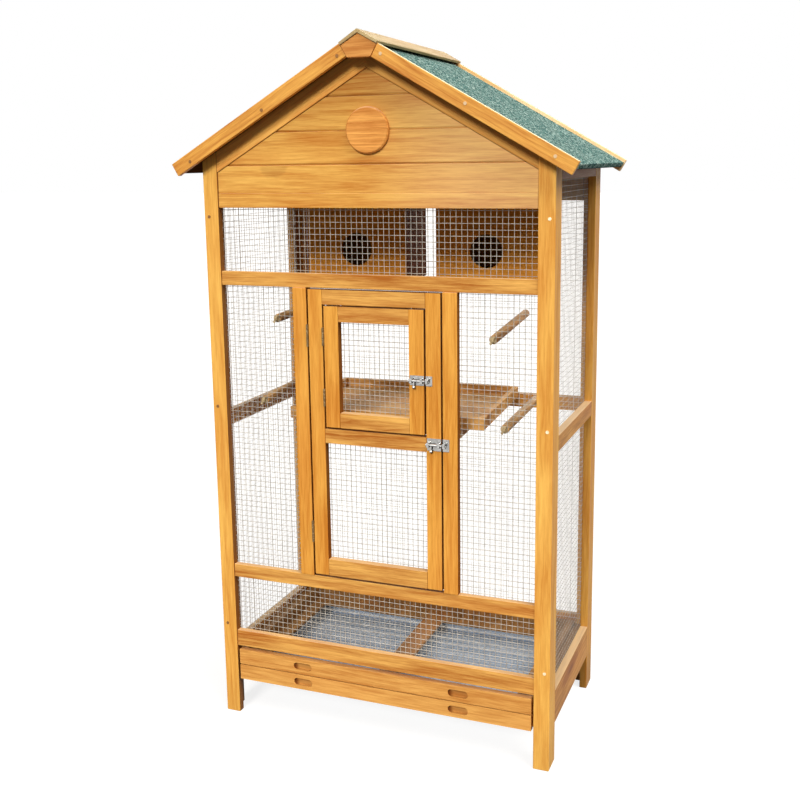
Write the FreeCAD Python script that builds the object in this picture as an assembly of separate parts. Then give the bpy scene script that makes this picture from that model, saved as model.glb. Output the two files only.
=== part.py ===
import FreeCAD, Part
import math
import os

# Gabled bird aviary of stained fir boards with welded wire mesh.
# Millimetres. +X is right as seen from the front, the front faces -Y, +Z is up.
# The origin lies on the ground under the middle of the cage.

Vector = FreeCAD.Vector

# Carcass
WIDTH = 810.0             # over the corner posts
DEPTH = 458.0             # over the corner posts
BOARD = 36.0              # face width of posts and stiles
THICK = 18.0              # thickness of posts, stiles and doors
RECESS = 3.0              # rails lie this far behind the faces of the posts
EAVE_Z = 1332.4           # underside of the roof at the outer faces of the posts
RAIL_H = 32.0             # height of the front rails
BOTTOM_RAIL_Z = 174.0
BOTTOM_RAIL_H = 40.0
LOWER_RAIL_Z = 351.0
UPPER_RAIL_Z = 1055.0
GABLE_Z = 1230.0          # lower edge of the gable rail
SKIRT_Z = 90.0            # deep bottom rails of the sides and the back
SIDE_SKIRT_H = 78.0
BACK_SKIRT_H = 90.0
MIDDLE_RAIL_Z = 715.0
MIDDLE_RAIL_H = 35.0
SIDE_TOP_RAIL_H = 45.0

# Gables
TRIM_W = 38.5             # sloping strips under the roof
TRIM_RECESS = 1.0
PLANK_H = 71.0
LOWEST_PLANK_H = 60.0     # sawn off below, so its lower edge is square
PLANK_T = 12.0
PLANK_RECESS = 4.0
PLANK_GROOVE = 4.0        # bevel along the lower front edge of a plank
DISC_R = 49.0
DISC_T = 9.0
DISC_BEVEL = 3.0
DISC_RISE = 163.0         # middle of the disc above the gable rail's lower edge

# Roof
PITCH = 30.0              # degrees
ROOF_T = 9.5
FELT_T = 2.5
EAVE_OVERHANG = 50.0      # roof edge beyond the posts, left and right
ROOF_OVERHANG = 27.0      # roof boards beyond the posts, front and rear
BARGE_T = 12.0
BARGE_W = 30.5
BARGE_DROP = 11.1         # barge boards hang this far below the roof boards
LEFT_BARGE_RISE = 4.0     # the front's left one is nailed on a little higher
BARGE_START = 37.4        # from the ridge along the slope
BARGE_TAIL = 4.0          # beyond the ends of the roof boards
RIDGE_T = 6.5
RIDGE_W = 42.0            # along the slope, from the roof boards' upper mitre edge
RIDGE_GAP = 5.5           # over the felt: the ridge boards rest on the end caps
RIDGE_REACH = 44.0        # ridge boards beyond the posts
CAP_T = 14.0

# Wire nets, drawn with a coarser step than the real mesh
NET_T = 1.6
NET_BAR = 2.0
NET_LAP = 10.0
NET_STEP = 38.1
BACK_NET_STEP = 63.5
WIRES_PER_STEP = 3        # real mesh openings across one step of the front nets

# Doors
DOOR_X = 4.0              # middle of the door, right of the cage's middle
JAMB_W = 34.0
DOOR_GAP = 3.0            # between a door and the boards around it
MAIN_DOOR_W = 312.0
DOOR_STILE_W = 35.0
DOOR_GAP_LOW = 5.0        # under the main door
DOOR_GAP_TOP = 2.2        # over the main door
SMALL_GAP_TOP = 2.4       # over the small door
DOOR_TOP_RAIL_H = 34.0
DOOR_LOW_RAIL_H = 40.0
DOOR_MIDDLE_RAIL_Z = 704.0
DOOR_MIDDLE_RAIL_H = 34.0
SMALL_RAIL_H = 35.0
SMALL_LAP = 8.0

# Butt hinges
LEAF_T = 1.2
KNUCKLE_R = 2.5
PIN_R = 1.2
PIN_FIT = 0.05
KNUCKLE_OUT = 2.7         # hinge axis in front of the door's face
KNUCKLE_GAP = 0.3
LEAF_DEPTH = 14.0
MAIN_HINGE_H = 50.0
MAIN_HINGE_INSET = 104.0  # from a door's lower and upper ends to the middles of its hinges
SMALL_HINGE_H = 40.0
SMALL_HINGE_INSET = 68.5

# Barrel bolts, measured from the closing edge of their door
BOLT_R = 3.0
BOLT_FIT = 0.1
BOLT_AXIS_OUT = 5.6       # bolt axis in front of the door's face
BOLT_PLATE_T = 1.2
BOLT_PLATE_W = 32.5
MAIN_BOLT_PLATE_H = 28.0
SMALL_BOLT_PLATE_H = 22.0
BOLT_PLATE_INSET = 0.4    # plates back from the gap between door and board
STRAP_W = 6.0
STRAP_H = 11.0
STRAP_OUT = 10.0
KEEPER_W = 15.0
BOLT_TAIL = 34.0
BOLT_TIP = 3.0
HANDLE_BACK = 22.4
HANDLE_R = 2.2
HANDLE_DROP = 14.0
KNOB_R = 3.6
MAIN_BOLT_Z = 722.0
SMALL_BOLT_Z = 862.0

# Drawers
DRAWER_SIDE_GAP = 5.0     # between a drawer front and the posts
DRAWER_FRONT_H = 37.0
DRAWER_FRONT_T = 15.0
DRAWER_FRONT_RECESS = 1.0
LOWER_DRAWER_Z = 88.5
UPPER_DRAWER_Z = 128.0
DRAWER_BACK_GAP = 22.0    # between a drawer and the back face of the cage
DRAWER_WALL_T = 15.0
FLOOR_STRIP_W = 35.0
FLOOR_STRIP_T = 7.0
MIDDLE_STRIP_W = 50.0
SLOT_W = 48.0
SLOT_H = 18.0
SLOT_X = 194.0
SLOT_DEPTH = 8.0          # finger recesses stop short of the board's rear face
SLIDE_FIT = 0.3
RUNNER_SIDE_FIT = 1.0
LEDGE_W = 10.0
RUNNER_TOP = 156.0
TRAY_T = 0.8
TRAY_H = 15.0
TRAY_SETBACK = 20.0       # finger room behind the lower drawer front
LOWER_WALL_H = 25.0

# Nest boxes
NEST_MIDDLE = 7.75        # middle of the pair, right of the cage's middle
NEST_X = 168.75           # boxes' middles, left and right of that
NEST_W = 262.0
NEST_Z = 1041.0
NEST_H = 219.0            # up behind the gable rail, which carries the boxes
NEST_DEPTH = 141.4
PLY = 9.0
NEST_HOLE_R = 40.0
NEST_HOLE_RISE = 76.0
RIGHT_HOLE_SHIFT = -5.6   # the right box's hole is cut left of its middle

# Platform tray
TRAY_RIGHT = 212.0        # rear right corner, which touches the back
TRAY_TURN = 3.0           # degrees about that corner: the tray lies a little askew
TRAY_W = 465.0
TRAY_Z = 740.0
LIP_H = 28.0
LIP_T = 12.0
TRAY_FRONT_GAP = 66.4     # between the front panel and the platform, before it is turned
SLATS = 6
SLAT_T = 8.0
SLAT_GAP = 3.0
BEARER_W = 18.0
BEARER_H = 24.0
BEARER_INSET = 65.0       # from the tray's ends to the bearers' middles
BEARER_TAIL = 40.0        # bearers past the tray, cut off at the back

# Perches: side (1 is right), wanted distance from the post and height on the mesh, rise in degrees
PERCH_R = 9.5
PERCH_LENGTH = 265.0
PERCH_END_BEVEL = 2.0
PERCHES = ((1, 99.0, 953.0, 4.5), (1, 70.0, 767.0, 2.0), (-1, 132.0, 984.0, 2.0), (-1, 89.0, 780.0, 3.0))
PERCH_BOLT_R = 2.5
WASHER_R = 7.0
WASHER_T = 1.5
NUT_R = 4.2
NUT_L = 6.0
WING_L = 10.0
WING_W = 5.0
WING_TURN = 25.0          # degrees from upright
WING_T = 2.0

# Screw heads
HEAD_R = 3.6
HEAD_T = 1.0
POST_SCREW_LOW = 230.0
POST_SCREW_MIDDLE = 770.0
POST_SCREW_HIGH = 1210.0
POST_SCREW_INSET = 12.0
BARGE_SCREWS = (0.033, 0.464, 0.903)    # shares of a barge board's length

# Derived planes
half = WIDTH / 2
front = -DEPTH / 2
back = DEPTH / 2
front_in = front + THICK          # inner faces of the front and back panels
back_in = back - THICK
side_in = half - THICK            # inner faces of the side panels
open_x = half - BOARD             # inner edges of the corner posts
sin = math.sin(math.radians(PITCH))
cos = math.cos(math.radians(PITCH))
apex = EAVE_Z + half * sin / cos  # underside of the roof at the ridge
trim_fall = TRIM_W / cos
door_half = MAIN_DOOR_W / 2
jamb_x = door_half + DOOR_GAP
door_low = LOWER_RAIL_Z + RAIL_H + DOOR_GAP_LOW
door_top = UPPER_RAIL_Z - DOOR_GAP_TOP
door_open = door_half - DOOR_STILE_W
small_half = door_open - DOOR_GAP
small_low = DOOR_MIDDLE_RAIL_Z + DOOR_MIDDLE_RAIL_H + DOOR_GAP
small_top = door_top - DOOR_TOP_RAIL_H - SMALL_GAP_TOP
rear_net = back_in - NET_T        # inner face of the back net

nodes = {}


def box(x0, x1, y0, y1, z0, z1):
    return Part.makeBox(x1 - x0, y1 - y0, z1 - z0, Vector(x0, y0, z0))


def prism_along_y(outline, y0, y1):
    """Solid with an outline of (x, z) points between two planes y."""
    points = [Vector(x, y0, z) for x, z in outline]
    face = Part.Face(Part.makePolygon(points + points[:1]))
    return face.extrude(Vector(0, y1 - y0, 0))


def prism_along_x(outline, x0, x1):
    """Solid with an outline of (y, z) points between two planes x."""
    points = [Vector(x0, y, z) for y, z in outline]
    face = Part.Face(Part.makePolygon(points + points[:1]))
    return face.extrude(Vector(x1 - x0, 0, 0))


def rod(radius, start, end):
    return Part.makeCylinder(radius, (end - start).Length, start, end - start)


def mirrored(solid):
    """The same piece on the other side of the cage's middle plane."""
    return solid.mirror(Vector(0, 0, 0), Vector(1, 0, 0))


def at_door(solid):
    """The same piece carried to the middle of the door."""
    return solid.translated(Vector(DOOR_X, 0, 0))


def turned_to_rear(solid):
    """The same piece turned about the vertical axis to face the other way."""
    copy = solid.copy()
    copy.rotate(Vector(0, 0, 0), Vector(0, 0, 1), 180)
    return copy


def add(node, *solids):
    nodes.setdefault(node, []).extend(solids)


def roof_under(x):
    return apex - abs(x) * sin / cos


def on_roof(along, above):
    """(x, z) on the right slope, along it from the ridge and above its underside."""
    return (along * cos + above * sin, apex - along * sin + above * cos)


def roof_slab(start, end, low, high, y0, y1):
    """Slab on the right slope; a start of None mitres it at the ridge."""
    starts = [start, start]
    if start is None:
        starts = [-low * sin / cos, -high * sin / cos]
    outline = [on_roof(starts[0], low), on_roof(end, low), on_roof(end, high), on_roof(starts[1], high)]
    return prism_along_y(outline, y0, y1)


# Corner posts and side stiles, cut to the slope of the roof
post = prism_along_y(
    [(open_x, 0), (half, 0), (half, roof_under(half)), (open_x, roof_under(open_x))], front, front_in)
add("corner_posts", post, mirrored(post), turned_to_rear(post), turned_to_rear(mirrored(post)))

stile = prism_along_y(
    [(side_in, 0), (half, 0), (half, roof_under(half)), (side_in, roof_under(side_in))],
    front_in, front_in + BOARD)
add("side_stiles", stile, mirrored(stile), turned_to_rear(stile), turned_to_rear(mirrored(stile)))


# Rails between the posts
def front_rail(z, height):
    return box(-open_x, open_x, front + RECESS, front_in, z, z + height)


def back_rail(z, height):
    return box(-open_x, open_x, back_in, back - RECESS, z, z + height)


add("front_upper_rail", front_rail(UPPER_RAIL_Z, RAIL_H))
add("front_lower_rail", front_rail(LOWER_RAIL_Z, RAIL_H))
add("front_bottom_rail", front_rail(BOTTOM_RAIL_Z, BOTTOM_RAIL_H))
add("back_rails",
    back_rail(MIDDLE_RAIL_Z, MIDDLE_RAIL_H),
    back_rail(SKIRT_Z, BACK_SKIRT_H))

side_front = front_in + BOARD
side_back = back_in - BOARD
side_top_z = EAVE_Z - SIDE_TOP_RAIL_H
side_rails = [
    box(side_in, half, side_front, side_back, SKIRT_Z, SKIRT_Z + SIDE_SKIRT_H),
    box(side_in, half, side_front, side_back, MIDDLE_RAIL_Z, MIDDLE_RAIL_Z + MIDDLE_RAIL_H),
    prism_along_y(
        [(side_in, side_top_z), (half, side_top_z), (half, roof_under(half)), (side_in, roof_under(side_in))],
        side_front, side_back)]
for rail in side_rails:
    add("side_rails", rail, mirrored(rail))

# Jambs beside the door
jamb = box(jamb_x, jamb_x + JAMB_W, front, front_in, LOWER_RAIL_Z + RAIL_H, UPPER_RAIL_Z)
add("door_jambs", at_door(jamb), at_door(mirrored(jamb)))

# Gables: a rail, planks with a bevelled lower edge, strips under the roof
plank_front = front + PLANK_RECESS
plank_low = GABLE_Z + RAIL_H
gable_space = prism_along_y(
    [(-open_x, GABLE_Z), (open_x, GABLE_Z), (open_x, roof_under(open_x) - trim_fall),
     (0, apex - trim_fall), (-open_x, roof_under(open_x) - trim_fall)],
    front, front_in)
gable_boards = [front_rail(GABLE_Z, RAIL_H)]
plank_rear = plank_front + PLANK_T
second_plank = plank_low + LOWEST_PLANK_H
plank_profiles = [[(plank_front, plank_low), (plank_rear, plank_low), (plank_rear, second_plank),
                   (plank_front, second_plank)]]
for index in range(math.ceil((apex - trim_fall - second_plank) / PLANK_H)):
    z0 = second_plank + index * PLANK_H
    z1 = z0 + PLANK_H
    plank_profiles.append([(plank_front + PLANK_GROOVE, z0), (plank_rear, z0), (plank_rear, z1),
                           (plank_front, z1), (plank_front, z0 + PLANK_GROOVE)])
for profile in plank_profiles:
    plank = prism_along_x(profile, -open_x, open_x)
    gable_boards.append(plank.common(gable_space).Solids[0])
add("front_gable_boards", *gable_boards)
add("rear_gable_boards", *[turned_to_rear(board) for board in gable_boards])

trim = prism_along_y(
    [(0, apex - trim_fall), (open_x, roof_under(open_x) - trim_fall), (open_x, roof_under(open_x)), (0, apex)],
    front + TRIM_RECESS, front_in - TRIM_RECESS)
add("gable_trims", trim, mirrored(trim), turned_to_rear(trim), turned_to_rear(mirrored(trim)))

disc_z = GABLE_Z + DISC_RISE
disc_back = Vector(0, plank_front, disc_z)
disc_step = Vector(0, plank_front - DISC_T + DISC_BEVEL, disc_z)
disc_body = rod(DISC_R, disc_back, disc_step)
disc_face = Part.makeCone(DISC_R, DISC_R - DISC_BEVEL, DISC_BEVEL, disc_step, Vector(0, -1, 0))
add("gable_disc", disc_body.fuse(disc_face).removeSplitter())

# Roof boards, felt folded down over the eaves, barge boards, ridge
roof_front = front - ROOF_OVERHANG
roof_back = back + ROOF_OVERHANG
felt_top = ROOF_T + FELT_T
roof_end = (half + EAVE_OVERHANG - felt_top * sin) / cos - FELT_T
roof_board = roof_slab(None, roof_end, 0, ROOF_T, roof_front, roof_back)
add("left_roof_board", mirrored(roof_board))
add("right_roof_board", roof_board)

felt_outline = [
    on_roof(-ROOF_T * sin / cos, ROOF_T), on_roof(roof_end, ROOF_T), on_roof(roof_end, 0),
    on_roof(roof_end + FELT_T, 0), on_roof(roof_end + FELT_T, felt_top), on_roof(-felt_top * sin / cos, felt_top)]
felt = prism_along_y(felt_outline, roof_front, roof_back)
add("left_roof_felt", mirrored(felt))
add("right_roof_felt", felt)

barge_end = roof_end + BARGE_TAIL


def barge_board(rise):
    """Barge board on the right slope; one that is nailed on higher reaches as far out."""
    low = rise - BARGE_DROP
    end = barge_end - rise * sin / cos
    return roof_slab(BARGE_START, end, low, low + BARGE_W, roof_front - BARGE_T, roof_front)


barge = barge_board(0)
add("front_barge_boards", barge, mirrored(barge_board(LEFT_BARGE_RISE)))
add("rear_barge_boards", turned_to_rear(barge), turned_to_rear(mirrored(barge)))

ridge_low = felt_top + RIDGE_GAP
ridge_board = roof_slab(
    None, RIDGE_W - ROOF_T * sin / cos, ridge_low, ridge_low + RIDGE_T, front - RIDGE_REACH, back + RIDGE_REACH)
add("ridge_boards", ridge_board, mirrored(ridge_board))

cap_side = BARGE_START - 1.0
cap_high = on_roof(cap_side, ridge_low)
cap_low = on_roof(cap_side, -BARGE_DROP)
cap = prism_along_y(
    [(0, apex + ridge_low / cos), cap_high, cap_low, (-cap_low[0], cap_low[1]), (-cap_high[0], cap_high[1])],
    roof_front - CAP_T, roof_front)
add("ridge_end_caps", cap, turned_to_rear(cap))


# Wire nets: one sheet with rows of square gaps
def net_lines(low, high, step):
    """Middles of the bars across a net's width or height."""
    count = max(1, round((high - low - NET_BAR) / step))
    pitch = (high - low - NET_BAR) / count
    return [low + NET_BAR / 2 + index * pitch for index in range(count + 1)]


def net(place, u_span, v_span, normal, step=NET_STEP):
    """Net over two spans; place turns (u, v) into a point, normal gives its thickness."""
    def ring(u0, u1, v0, v1):
        corners = [place(u0, v0), place(u1, v0), place(u1, v1), place(u0, v1)]
        return Part.makePolygon(corners + corners[:1])

    u_bars = net_lines(u_span[0], u_span[1], step)
    v_bars = net_lines(v_span[0], v_span[1], step)
    edge = NET_BAR / 2
    rings = [ring(u_span[0], u_span[1], v_span[0], v_span[1])]
    for u0, u1 in zip(u_bars, u_bars[1:]):
        for v0, v1 in zip(v_bars, v_bars[1:]):
            rings.append(ring(u0 + edge, u1 - edge, v0 + edge, v1 - edge))
    return Part.makeFace(rings, "Part::FaceMakerBullseye").extrude(normal * NET_T)


def net_at_y(y):
    return lambda u, v: Vector(u, y, v)


def net_at_x(x):
    return lambda u, v: Vector(x, u, v)


def net_at_z(z):
    return lambda u, v: Vector(u, v, z)


def lapped(low, high, lap=NET_LAP):
    return (low - lap, high + lap)


behind = Vector(0, 1, 0)
full_span = lapped(-open_x, open_x)
left_span = lapped(-open_x, DOOR_X - jamb_x - JAMB_W)
right_span = lapped(DOOR_X + jamb_x + JAMB_W, open_x)
door_side_levels = lapped(LOWER_RAIL_Z + RAIL_H, UPPER_RAIL_Z)
at_front = net_at_y(front_in)
add("front_upper_mesh", net(at_front, full_span, lapped(UPPER_RAIL_Z + RAIL_H, GABLE_Z), behind))
add("front_lower_mesh", net(at_front, full_span, lapped(BOTTOM_RAIL_Z + BOTTOM_RAIL_H, LOWER_RAIL_Z), behind))
add("front_right_mesh", net(at_front, right_span, door_side_levels, behind))
add("front_left_mesh", net(at_front, left_span, door_side_levels, behind))
side_net = net(net_at_x(side_in - NET_T), lapped(side_front, side_back),
               lapped(SKIRT_Z + SIDE_SKIRT_H, side_top_z), Vector(1, 0, 0))
add("right_side_mesh", side_net)
add("left_side_mesh", mirrored(side_net))
add("back_mesh", net(net_at_y(rear_net), full_span, lapped(SKIRT_Z + BACK_SKIRT_H, GABLE_Z), behind, BACK_NET_STEP))


# Doors: frames of butted boards with a net on the inside
def door_boards(half_width, stile_w, low, high, rails):
    stile = box(half_width - stile_w, half_width, front, front_in, low, high)
    inner = half_width - stile_w
    boards = [box(-inner, inner, front, front_in, z, z + height) for z, height in rails]
    return [at_door(stile), at_door(mirrored(stile))], [at_door(board) for board in boards]


main_rails = [(door_low, DOOR_LOW_RAIL_H), (DOOR_MIDDLE_RAIL_Z, DOOR_MIDDLE_RAIL_H),
              (door_top - DOOR_TOP_RAIL_H, DOOR_TOP_RAIL_H)]
main_stiles, main_boards = door_boards(door_half, DOOR_STILE_W, door_low, door_top, main_rails)
add("main_door_stiles", *main_stiles)
add("main_door_rails", *main_boards)
add("main_door_mesh", at_door(net(
    at_front, lapped(-door_open, door_open), lapped(door_low + DOOR_LOW_RAIL_H, DOOR_MIDDLE_RAIL_Z), behind)))

small_rails = [(small_low, SMALL_RAIL_H), (small_top - SMALL_RAIL_H, SMALL_RAIL_H)]
small_stiles, small_boards = door_boards(small_half, DOOR_STILE_W, small_low, small_top, small_rails)
small_open = small_half - DOOR_STILE_W
add("small_door_stiles", *small_stiles)
add("small_door_rails", *small_boards)
add("small_door_mesh", at_door(net(
    at_front, lapped(-small_open, small_open, SMALL_LAP),
    lapped(small_low + SMALL_RAIL_H, small_top - SMALL_RAIL_H, SMALL_LAP), behind)))


# Butt hinges in the gap on the left of a door: the fixed leaf has the outer knuckles
def hinge(door_edge, level, height):
    """Fixed leaf, door leaf and pin of a hinge beside a door's left edge."""
    axis_x = door_edge - DOOR_GAP / 2
    axis_y = front - KNUCKLE_OUT
    low = level - height / 2
    quarter = height / 4
    bands = [(low, low + quarter - KNUCKLE_GAP), (low + quarter, low + 3 * quarter),
             (low + 3 * quarter + KNUCKLE_GAP, low + height)]

    def knuckle(z0, z1):
        return rod(KNUCKLE_R, Vector(axis_x, axis_y, z0), Vector(axis_x, axis_y, z1))

    bore = rod(PIN_R + PIN_FIT, Vector(axis_x, axis_y, low - 1), Vector(axis_x, axis_y, low + height + 1))
    leaf_back = front + LEAF_DEPTH
    fixed_x = door_edge - DOOR_GAP
    fixed = box(fixed_x, fixed_x + LEAF_T, front, leaf_back, low, low + height)
    moving = box(door_edge - LEAF_T, door_edge, front, leaf_back, low, low + height)
    for index, (z0, z1) in enumerate(bands):
        if index == 1:
            moving = moving.fuse(knuckle(z0, z1))
            moving = moving.fuse(box(door_edge - LEAF_T, door_edge, axis_y, front, z0, z1))
        else:
            fixed = fixed.fuse(knuckle(z0, z1))
            fixed = fixed.fuse(box(fixed_x, fixed_x + LEAF_T, axis_y, front, z0, z1))
    pin = rod(PIN_R, Vector(axis_x, axis_y, low), Vector(axis_x, axis_y, low + height))
    return fixed.cut(bore).removeSplitter(), moving.cut(bore).removeSplitter(), pin


for level in (door_low + MAIN_HINGE_INSET, door_top - MAIN_HINGE_INSET):
    fixed_leaf, door_leaf, pin = hinge(DOOR_X - door_half, level, MAIN_HINGE_H)
    add("main_hinge_jamb_leaves", fixed_leaf)
    add("main_hinge_door_leaves", door_leaf)
    add("main_hinge_pins", pin)
for level in (small_low + SMALL_HINGE_INSET, small_top - SMALL_HINGE_INSET):
    fixed_leaf, door_leaf, pin = hinge(DOOR_X - small_half, level, SMALL_HINGE_H)
    add("small_hinge_outer_leaves", fixed_leaf)
    add("small_hinge_door_leaves", door_leaf)
    add("small_hinge_pins", pin)


# Barrel bolts: plate with two straps, sliding bolt with a hanging knob, keeper
def barrel_bolt(edge, z, plate_h):
    """Housing, bolt and keeper of a bolt at the closing edge of a door, drawn back."""
    axis_y = front - BOLT_AXIS_OUT
    plate_end = edge - BOLT_PLATE_INSET
    plate_start = plate_end - BOLT_PLATE_W
    keeper_start = edge + DOOR_GAP + BOLT_PLATE_INSET

    def plate(x0, x1):
        return box(x0, x1, front - BOLT_PLATE_T, front, z - plate_h / 2, z + plate_h / 2)

    def strap(x0):
        return box(x0, x0 + STRAP_W, front - STRAP_OUT, front - BOLT_PLATE_T / 2,
                   z - STRAP_H / 2, z + STRAP_H / 2)

    def along(x0, x1, radius):
        return rod(radius, Vector(x0, axis_y, z), Vector(x1, axis_y, z))

    bore = along(plate_start - 10, keeper_start + KEEPER_W + 10, BOLT_R + BOLT_FIT)
    housing = plate(plate_start, plate_end).fuse([strap(plate_start + 1), strap(plate_end - STRAP_W - 1)])
    keeper = plate(keeper_start, keeper_start + KEEPER_W).fuse(strap(keeper_start + 1.5))
    handle_x = edge - HANDLE_BACK
    handle_end = Vector(handle_x, axis_y, z - HANDLE_DROP)
    bolt = along(edge - BOLT_TAIL, edge + BOLT_TIP, BOLT_R)
    bolt = bolt.fuse([rod(HANDLE_R, Vector(handle_x, axis_y, z), handle_end), Part.makeSphere(KNOB_R, handle_end)])
    return housing.cut(bore).removeSplitter(), bolt.removeSplitter(), keeper.cut(bore).removeSplitter()


housing, bolt, keeper = barrel_bolt(DOOR_X + door_half, MAIN_BOLT_Z, MAIN_BOLT_PLATE_H)
add("main_bolt_housing", housing)
add("main_bolt", bolt)
add("main_bolt_keeper", keeper)
housing, bolt, keeper = barrel_bolt(DOOR_X + small_half, SMALL_BOLT_Z, SMALL_BOLT_PLATE_H)
add("small_bolt_housing", housing)
add("small_bolt", bolt)
add("small_bolt_keeper", keeper)

# Drawers and their runners
drawer_half = open_x - DRAWER_SIDE_GAP
drawer_back = back - DRAWER_BACK_GAP
front_face = front + DRAWER_FRONT_RECESS
front_rear = front_face + DRAWER_FRONT_T
wall_in = drawer_half - DRAWER_WALL_T
ledge_in = drawer_half + RUNNER_SIDE_FIT - LEDGE_W
strip_out = ledge_in - 0.5


def finger_slot(x, z):
    """Cutter for a recess with round ends in the face of a drawer front."""
    radius = SLOT_H / 2
    reach = SLOT_W / 2 - radius
    y0 = front_face - 1
    y1 = front_face + SLOT_DEPTH
    ends = [rod(radius, Vector(x + side * reach, y0, z), Vector(x + side * reach, y1, z)) for side in (-1, 1)]
    return box(x - reach, x + reach, y0, y1, z - radius, z + radius).fuse(ends)


def drawer_front(z):
    board = box(-drawer_half, drawer_half, front_face, front_rear, z, z + DRAWER_FRONT_H)
    middle = z + DRAWER_FRONT_H / 2
    return board.cut([finger_slot(-SLOT_X, middle), finger_slot(SLOT_X, middle)])


def drawer_walls(z0, z1):
    """Side walls and back wall between two heights."""
    right = box(wall_in, drawer_half, front_rear, drawer_back, z0, z1)
    rear = box(-wall_in, wall_in, drawer_back - DRAWER_WALL_T, drawer_back, z0, z1)
    return [right, mirrored(right), rear]


def floor_strips(z0, z1):
    """Flat strips all round under the walls and one across the middle."""
    right = box(strip_out - FLOOR_STRIP_W - 5, strip_out, front_rear, drawer_back, z0, z1)
    reach = strip_out - FLOOR_STRIP_W - 5
    near = box(-reach, reach, front_rear, front_rear + FLOOR_STRIP_W, z0, z1)
    far = box(-reach, reach, drawer_back - FLOOR_STRIP_W - DRAWER_WALL_T, drawer_back, z0, z1)
    middle = box(-MIDDLE_STRIP_W / 2, MIDDLE_STRIP_W / 2, front_rear + FLOOR_STRIP_W,
                 drawer_back - FLOOR_STRIP_W - DRAWER_WALL_T, z0, z1)
    return [right, mirrored(right), near, far, middle]


upper_floor = UPPER_DRAWER_Z + NET_T
upper_wall_z = upper_floor + FLOOR_STRIP_T
add("upper_drawer_front", drawer_front(UPPER_DRAWER_Z))
add("upper_drawer_frame",
    *drawer_walls(upper_wall_z, UPPER_DRAWER_Z + DRAWER_FRONT_H), *floor_strips(upper_floor, upper_wall_z))
grate_reach = strip_out - FLOOR_STRIP_W / 2
add("upper_drawer_grate", net(
    net_at_z(UPPER_DRAWER_Z), (-grate_reach, grate_reach),
    (front_rear + NET_LAP, drawer_back - DRAWER_WALL_T - NET_LAP), Vector(0, 0, 1)))

lower_wall_z = LOWER_DRAWER_Z + FLOOR_STRIP_T
add("lower_drawer_front", drawer_front(LOWER_DRAWER_Z))
add("lower_drawer_frame",
    *drawer_walls(lower_wall_z, lower_wall_z + LOWER_WALL_H), *floor_strips(LOWER_DRAWER_Z, lower_wall_z))
sheet_front = front_rear + TRAY_SETBACK
sheet_back = drawer_back - DRAWER_WALL_T
sheet_top = lower_wall_z + TRAY_T
edge_top = lower_wall_z + TRAY_H
right_edge = box(wall_in - TRAY_T, wall_in, sheet_front + TRAY_T, sheet_back - TRAY_T, sheet_top, edge_top)
add("lower_drawer_tray",
    box(-wall_in, wall_in, sheet_front, sheet_back, lower_wall_z, sheet_top),
    box(-wall_in, wall_in, sheet_front, sheet_front + TRAY_T, sheet_top, edge_top),
    box(-wall_in, wall_in, sheet_back - TRAY_T, sheet_back, sheet_top, edge_top),
    right_edge, mirrored(right_edge))

runner_face = drawer_half + RUNNER_SIDE_FIT
runner_outline = [
    (side_in, SKIRT_Z), (side_in, RUNNER_TOP), (runner_face, RUNNER_TOP),
    (runner_face, upper_wall_z - SLIDE_FIT), (ledge_in, upper_wall_z - SLIDE_FIT), (ledge_in, UPPER_DRAWER_Z),
    (runner_face, UPPER_DRAWER_Z), (runner_face, lower_wall_z - SLIDE_FIT),
    (ledge_in, lower_wall_z - SLIDE_FIT), (ledge_in, SKIRT_Z)]
runner = prism_along_y(runner_outline, front_in, back_in)
add("drawer_runners", runner, mirrored(runner))


# Nest boxes screwed through the mesh to the rear gable's rail
def nest_box(x, hole_shift):
    x0 = x - NEST_W / 2
    x1 = x + NEST_W / 2
    y0 = rear_net - NEST_DEPTH
    y1 = rear_net
    z1 = NEST_Z + NEST_H
    hole_z = NEST_Z + NEST_HOLE_RISE
    hole_x = x + hole_shift
    hole = rod(NEST_HOLE_R, Vector(hole_x, y0 - 1, hole_z), Vector(hole_x, y0 + PLY + 1, hole_z))
    return [
        box(x0, x1, y0, y0 + PLY, NEST_Z, z1).cut(hole),
        box(x0, x1, y1 - PLY, y1, NEST_Z, z1),
        box(x0, x0 + PLY, y0 + PLY, y1 - PLY, NEST_Z, z1),
        box(x1 - PLY, x1, y0 + PLY, y1 - PLY, NEST_Z, z1),
        box(x0 + PLY, x1 - PLY, y0 + PLY, y1 - PLY, NEST_Z, NEST_Z + PLY),
        box(x0 + PLY, x1 - PLY, y0 + PLY, y1 - PLY, z1 - PLY, z1)]


add("left_nest_box", *nest_box(NEST_MIDDLE - NEST_X, 0))
add("right_nest_box", *nest_box(NEST_MIDDLE + NEST_X, RIGHT_HOLE_SHIFT))

# Platform tray on two bearers that stand out from the back rail
tray_left = TRAY_RIGHT - TRAY_W
tray_front = front_in + TRAY_FRONT_GAP
tray_depth = rear_net - tray_front
lip_top = TRAY_Z + LIP_H


def turned_tray(solid):
    solid.rotate(Vector(TRAY_RIGHT, rear_net, 0), Vector(0, 0, 1), TRAY_TURN)
    return solid


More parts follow.
